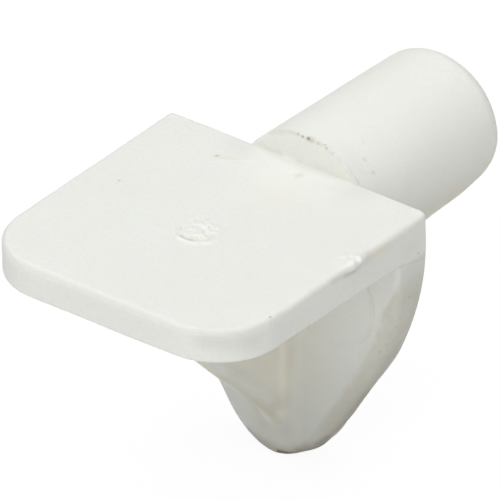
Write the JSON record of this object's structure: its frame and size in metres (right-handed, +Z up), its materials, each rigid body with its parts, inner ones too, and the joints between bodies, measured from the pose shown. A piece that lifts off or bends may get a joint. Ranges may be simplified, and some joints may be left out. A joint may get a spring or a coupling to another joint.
{
  "type": "shelf support pin",
  "caption": "One-piece moulded plastic shelf support: a round pin for a bored cabinet side, a back plate and a rib-braced ledge that the shelf rests on.",
  "frame": {"origin": "on the pin's axis, in the plane of the cabinet wall that the back plate bears on", "axes": "+Y along the pin into the wall, -Y out into the room over the ledge, +Z up to the shelf"},
  "size_m": [0.0127, 0.0216, 0.014],
  "materials": {
    "plastic": "satin off-white moulded plastic, with a rough round gate mark on the ledge and brown dirt in the corners"
  },
  "bodies": {
    "root": {"shelf_support_pin": "plastic"}
  },
  "joints": []
}
